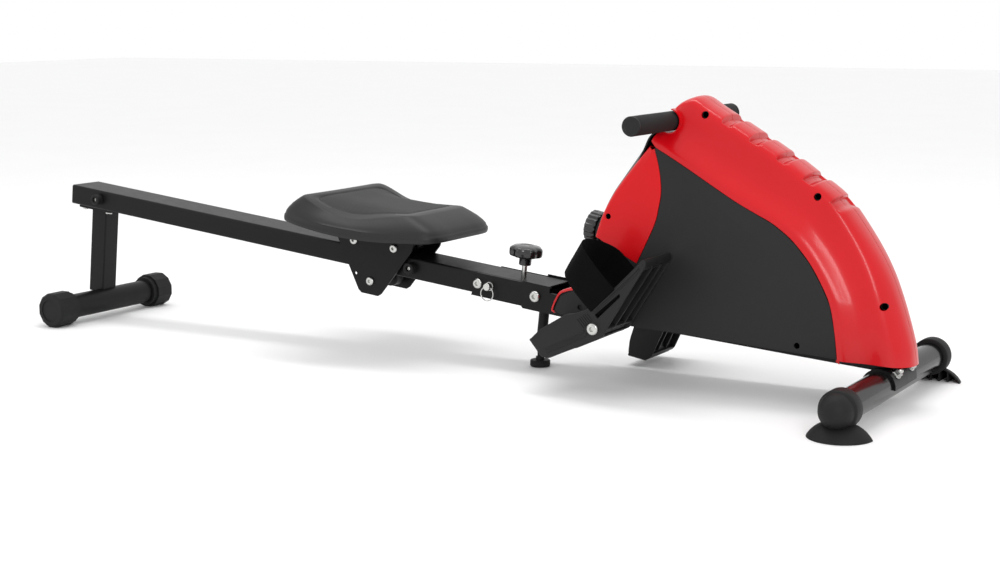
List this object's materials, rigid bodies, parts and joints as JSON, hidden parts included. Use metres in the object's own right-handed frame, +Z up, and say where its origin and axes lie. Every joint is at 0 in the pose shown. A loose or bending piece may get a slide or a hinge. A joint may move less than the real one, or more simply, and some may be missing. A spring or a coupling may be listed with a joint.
{
  "type": "rowing machine",
  "caption": "Folding indoor rower: sliding seat on a sloping box rail, red and black drive housing with pull handle, swivelling strapped pedals and cross-tube feet",
  "frame": {"origin": "on the floor, under the middle of the machine's length and width", "axes": "+X along the rail towards the drive housing, +Y to the rower's left, +Z up"},
  "size_m": [1.8314, 0.56, 0.4989],
  "materials": {
    "frame_black": "satin powder coat",
    "zinc": "bright zinc plate",
    "red_shell": "gloss",
    "black_plastic": "fine grain",
    "rubber_black": "matte",
    "foam_black": "closed-cell foam",
    "seat_cover": "grained skin",
    "webbing": "woven",
    "flywheel_iron": "turned"
  },
  "bodies": {
    "base": {"base_beam": "frame_black", "fork_channel": "frame_black", "fork_bracket": "frame_black", "front_saddle": "frame_black", "front_tube": "frame_black", "front_cap_right": "black_plastic", "front_cap_left": "black_plastic", "saddle_bolts": "zinc", "fork_screws": "zinc", "pivot_bolt": "zinc", "middle_leg": "frame_black", "housing_shell_right": "red_shell", "housing_shell_left": "red_shell", "side_panel_right": "black_plastic", "side_panel_left": "black_plastic", "rear_cover": "black_plastic", "housing_screws": "zinc", "dial_boss": "black_plastic", "pedal_axle": "frame_black", "drive_plates": "zinc", "drive_axles": "zinc", "drive_belt": "rubber_black", "spring_case": "black_plastic"},
    "level_foot": {"level_foot": "zinc"},
    "rail": {"rail": "frame_black", "rail_bushing": "black_plastic", "rail_end_plug": "black_plastic", "post_plate": "frame_black", "rear_post": "frame_black", "rear_tube": "frame_black", "rear_cap_right": "rubber_black", "rear_cap_left": "rubber_black", "rail_stops": "rubber_black", "rail_screws": "zinc"},
    "seat": {"carriage_plate_right": "frame_black", "carriage_plate_left": "frame_black", "carriage_top": "frame_black", "seat_base": "frame_black", "seat_pad": "seat_cover", "seat_screws": "zinc", "roller_axles": "zinc"},
    "roller_front": {"roller_front": "black_plastic"},
    "roller_rear": {"roller_rear": "black_plastic"},
    "roller_low": {"roller_low": "black_plastic"},
    "clamp_rod": {"clamp_rod": "zinc"},
    "clamp_knob": {"clamp_knob": "black_plastic"},
    "lock_pin": {"lock_pin": "zinc"},
    "pin_ring": {"pin_ring": "zinc"},
    "pedal_right": {"pedal_right": "black_plastic", "foot_strap_right": "webbing"},
    "pedal_left": {"pedal_left": "black_plastic", "foot_strap_left": "webbing"},
    "handle": {"handle_tube": "zinc", "handle_grips": "foam_black"},
    "tension_dial": {"tension_dial": "black_plastic"},
    "magnet_arm": {"magnet_arm": "zinc"},
    "flywheel": {"flywheel": "flywheel_iron"},
    "spool_pulley": {"spool_pulley": "black_plastic"},
    "strap_drum": {"strap_drum": "black_plastic", "strap_roll": "webbing"}
  },
  "joints": [
    {"name": "rail_fold", "type": "hinge", "parent": "base", "child": "rail", "pos_m": [0.22359, 0, 0.13758], "axis": [0, 1, 0], "range_deg": [0, 75]},
    {"name": "seat_slide", "type": "slide", "parent": "rail", "child": "seat", "axis": [-0.994, 0, 0.1097], "range_m": [0, 0.6]},
    {"name": "roller_front_turn", "type": "hinge", "parent": "seat", "child": "roller_front", "pos_m": [-0.07992, 0, 0.20429], "axis": [0, 1, 0], "continuous": true},
    {"name": "roller_rear_turn", "type": "hinge", "parent": "seat", "child": "roller_rear", "pos_m": [-0.17137, 0, 0.21439], "axis": [0, 1, 0], "continuous": true},
    {"name": "roller_low_turn", "type": "hinge", "parent": "seat", "child": "roller_low", "pos_m": [-0.13553, 0, 0.138], "axis": [0, 1, 0], "continuous": true},
    {"name": "clamp_lift", "type": "slide", "parent": "rail", "child": "clamp_rod", "axis": [0.1097, 0, 0.994], "range_m": [0, 0.008]},
    {"name": "clamp_turn", "type": "hinge", "parent": "clamp_rod", "child": "clamp_knob", "pos_m": [0.1771, 0, 0.20308], "axis": [0.1097, 0, 0.994], "continuous": true},
    {"name": "lock_pull", "type": "slide", "parent": "base", "child": "lock_pin", "axis": [0, -1, 0], "range_m": [0, 0.1]},
    {"name": "ring_swing", "type": "hinge", "parent": "lock_pin", "child": "pin_ring", "pos_m": [0.12705, -0.053, 0.14704], "axis": [0.994, 0, -0.1097], "range_deg": [-35, 12]},
    {"name": "level_turn", "type": "hinge", "parent": "base", "child": "level_foot", "pos_m": [0.2067, 0, 0.02], "axis": [0, 0, 1], "continuous": true},
    {"name": "pedal_right_tilt", "type": "hinge", "parent": "base", "child": "pedal_right", "pos_m": [0.4167, -0.139, 0.12], "axis": [0, 1, 0], "range_deg": [-40, 25]},
    {"name": "pedal_left_tilt", "type": "hinge", "parent": "base", "child": "pedal_left", "pos_m": [0.4167, 0.139, 0.12], "axis": [0, 1, 0], "range_deg": [-1, 65]},
    {"name": "handle_pull", "type": "slide", "parent": "base", "child": "handle", "axis": [-1, 0, 0], "range_m": [0, 1], "stiffness_N_per_m": 10, "springref_m": -0.8},
    {"name": "dial_turn", "type": "hinge", "parent": "base", "child": "tension_dial", "pos_m": [0.32145, 0, 0.26471], "axis": [0.9781, 0, -0.2079], "range_deg": [0, 270]},
    {"name": "magnet_swing", "type": "hinge", "parent": "base", "child": "magnet_arm", "pos_m": [0.5667, 0, 0.172], "axis": [0, 1, 0], "range_deg": [-8.2, 0]},
    {"name": "flywheel_turn", "type": "hinge", "parent": "base", "child": "flywheel", "pos_m": [0.6837, 0, 0.238], "axis": [0, 1, 0], "continuous": true},
    {"name": "pulley_turn", "type": "hinge", "parent": "base", "child": "spool_pulley", "pos_m": [0.5137, 0.03, 0.3], "axis": [0, 1, 0], "continuous": true},
    {"name": "drum_turn", "type": "hinge", "parent": "base", "child": "strap_drum", "pos_m": [0.5137, 0, 0.3], "axis": [0, 1, 0], "continuous": true}
  ],
  "couplings": [
    {"joint": "roller_front_turn", "follows": "seat_slide", "rad_per_m": -76.923},
    {"joint": "roller_rear_turn", "follows": "seat_slide", "rad_per_m": -76.923},
    {"joint": "roller_low_turn", "follows": "seat_slide", "rad_per_m": 52.632},
    {"joint": "magnet_swing", "follows": "dial_turn", "ratio": -0.03},
    {"joint": "pulley_turn", "follows": "flywheel_turn", "ratio": 0.26667},
    {"joint": "drum_turn", "follows": "handle_pull", "rad_per_m": -22.727}
  ]
}
